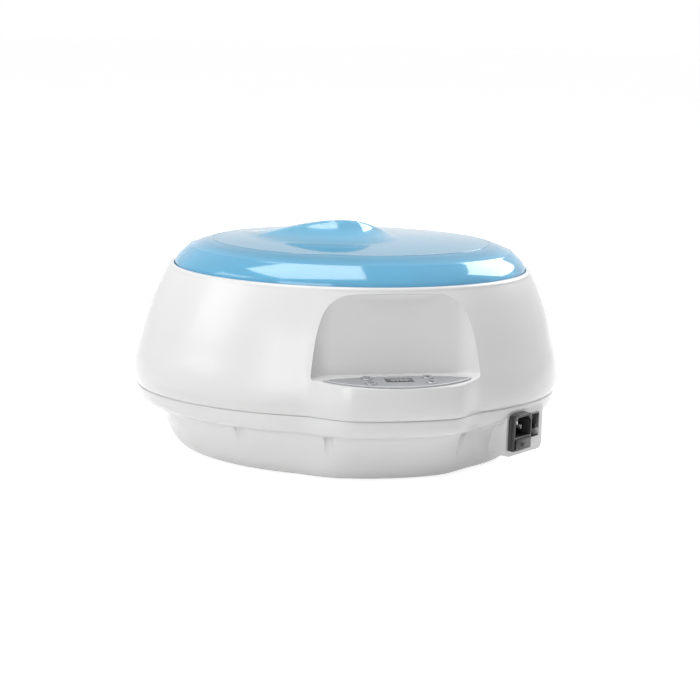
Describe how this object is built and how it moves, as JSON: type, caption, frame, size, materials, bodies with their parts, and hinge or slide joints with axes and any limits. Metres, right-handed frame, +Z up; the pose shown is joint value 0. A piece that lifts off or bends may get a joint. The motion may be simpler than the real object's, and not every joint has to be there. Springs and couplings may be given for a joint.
{
  "type": "paraffin wax bath",
  "caption": "Oval heated paraffin wax bath: white two-part casing, clear blue lift-off lid, front control recess, mains inlet with fuse drawer and rocker switch.",
  "frame": {"origin": "centre of the footprint on the surface that the bath stands on", "axes": "+X to the user's right, +Y from the front console to the back, +Z up"},
  "size_m": [0.38, 0.336, 0.202],
  "materials": {
    "white_shell": "satin",
    "lid_blue": "clear gloss",
    "black_plastic": "satin",
    "overlay_silver": "brushed silver film",
    "display_dark": "gloss",
    "rubber_grey": "matte",
    "tank_metal": "satin",
    "grille_white": "matte",
    "steel": "plated",
    "brass": "plain",
    "heater_red": "matte",
    "board_green": "satin",
    "core_metal": "painted",
    "relay_blue": "satin",
    "terminal_green": "satin",
    "lead_sleeve": "satin"
  },
  "bodies": {
    "body": {"base": "white_shell", "board_screw_left": "steel", "board_screw_right": "steel", "case_screw_1": "steel", "case_screw_10": "steel", "case_screw_2": "steel", "case_screw_3": "steel", "case_screw_4": "steel", "case_screw_5": "steel", "case_screw_6": "steel", "case_screw_7": "steel", "case_screw_8": "steel", "case_screw_9": "steel", "control_board": "board_green", "control_overlay": "overlay_silver", "display_module": "display_dark", "foot_left_back": "rubber_grey", "foot_left_front": "rubber_grey", "foot_right_back": "rubber_grey", "foot_right_front": "rubber_grey", "heat_shield": "steel", "heater_plate": "heater_red", "inlet_housing": "black_plastic", "inlet_pin_earth": "steel", "inlet_pin_live": "steel", "inlet_pin_neutral": "steel", "lead_control": "lead_sleeve", "lead_earth": "lead_sleeve", "lead_heater": "lead_sleeve", "lead_live": "lead_sleeve", "lead_neutral": "lead_sleeve", "lead_switched": "lead_sleeve", "power_board": "board_green", "relay": "relay_blue", "sensor_clamp": "steel", "switch_housing": "black_plastic", "tact_switch_down": "black_plastic", "tact_switch_power": "black_plastic", "tact_switch_timer": "black_plastic", "tact_switch_up": "black_plastic", "tank": "tank_metal", "tank_gasket": "rubber_grey", "temperature_sensor": "brass", "terminal_block": "terminal_green", "thermal_cutout": "black_plastic", "transformer": "core_metal", "upper_housing": "white_shell"},
    "lid": {"lid": "lid_blue"},
    "tank_grille": {"tank_grille": "grille_white"},
    "fuse_drawer": {"fuse_drawer": "black_plastic", "fuse": "steel"},
    "switch_rocker": {"switch_rocker": "black_plastic"},
    "key_power": {"key_power": "overlay_silver"},
    "key_timer": {"key_timer": "overlay_silver"},
    "key_up": {"key_up": "overlay_silver"},
    "key_down": {"key_down": "overlay_silver"}
  },
  "joints": [
    {"name": "lid_lift", "type": "slide", "parent": "body", "child": "lid", "axis": [0, 0, 1], "range_m": [0, 0.15]},
    {"name": "grille_lift", "type": "slide", "parent": "body", "child": "tank_grille", "axis": [0, 0, 1], "range_m": [0, 0.085]},
    {"name": "fuse_drawer_slide", "type": "slide", "parent": "body", "child": "fuse_drawer", "axis": [0.6157, -0.788, 0], "range_m": [0, 0.016]},
    {"name": "switch_rock", "type": "hinge", "parent": "body", "child": "switch_rocker", "pos_m": [0.13849, -0.0947, 0.0361], "axis": [0.788, 0.6157, 0], "range_deg": [0, 22]},
    {"name": "key_power_press", "type": "slide", "parent": "body", "child": "key_power", "axis": [0, 0.1219, -0.9925], "range_m": [0, 0.0005], "stiffness_N_per_m": 500},
    {"name": "key_timer_press", "type": "slide", "parent": "body", "child": "key_timer", "axis": [0, 0.1219, -0.9925], "range_m": [0, 0.0005], "stiffness_N_per_m": 500},
    {"name": "key_up_press", "type": "slide", "parent": "body", "child": "key_up", "axis": [0, 0.1219, -0.9925], "range_m": [0, 0.0005], "stiffness_N_per_m": 500},
    {"name": "key_down_press", "type": "slide", "parent": "body", "child": "key_down", "axis": [0, 0.1219, -0.9925], "range_m": [0, 0.0005], "stiffness_N_per_m": 500}
  ]
}
